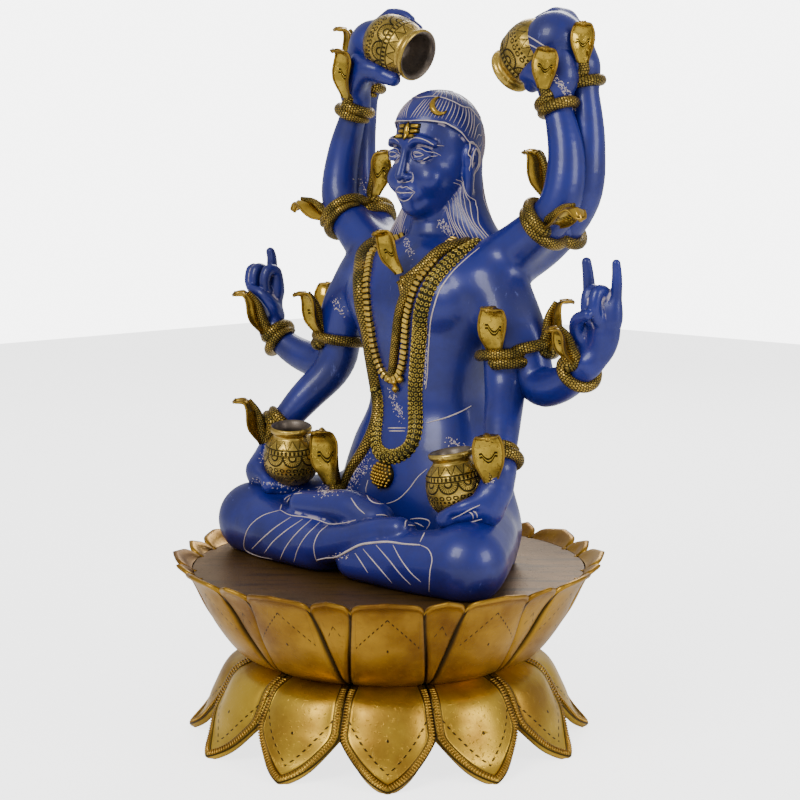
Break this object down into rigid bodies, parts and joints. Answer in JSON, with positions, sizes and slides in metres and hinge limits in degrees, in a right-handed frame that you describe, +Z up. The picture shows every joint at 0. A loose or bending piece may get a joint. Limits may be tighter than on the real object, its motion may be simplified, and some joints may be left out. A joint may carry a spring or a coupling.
{
  "type": "eight-armed seated deity figurine",
  "caption": "Cross-legged deity figurine with many arms, snake ornaments and water pots, glossy blue skin and brass dress, seated on a separate round double lotus base.",
  "frame": {"origin": "centre of the bounding box's bottom face, on the ground under the lotus base", "axes": "+Z up, the figure faces -Y, and its left side is +X"},
  "size_m": [0.3745, 0.3166, 0.5316],
  "materials": {
    "figure": "glossy deep blue lacquer on cast brass, bare brass ornaments",
    "lotus_base": "bright brass with brown and green patina in the grooves"
  },
  "bodies": {
    "root": {"figure": "figure", "lotus_base": "lotus_base"}
  },
  "joints": []
}
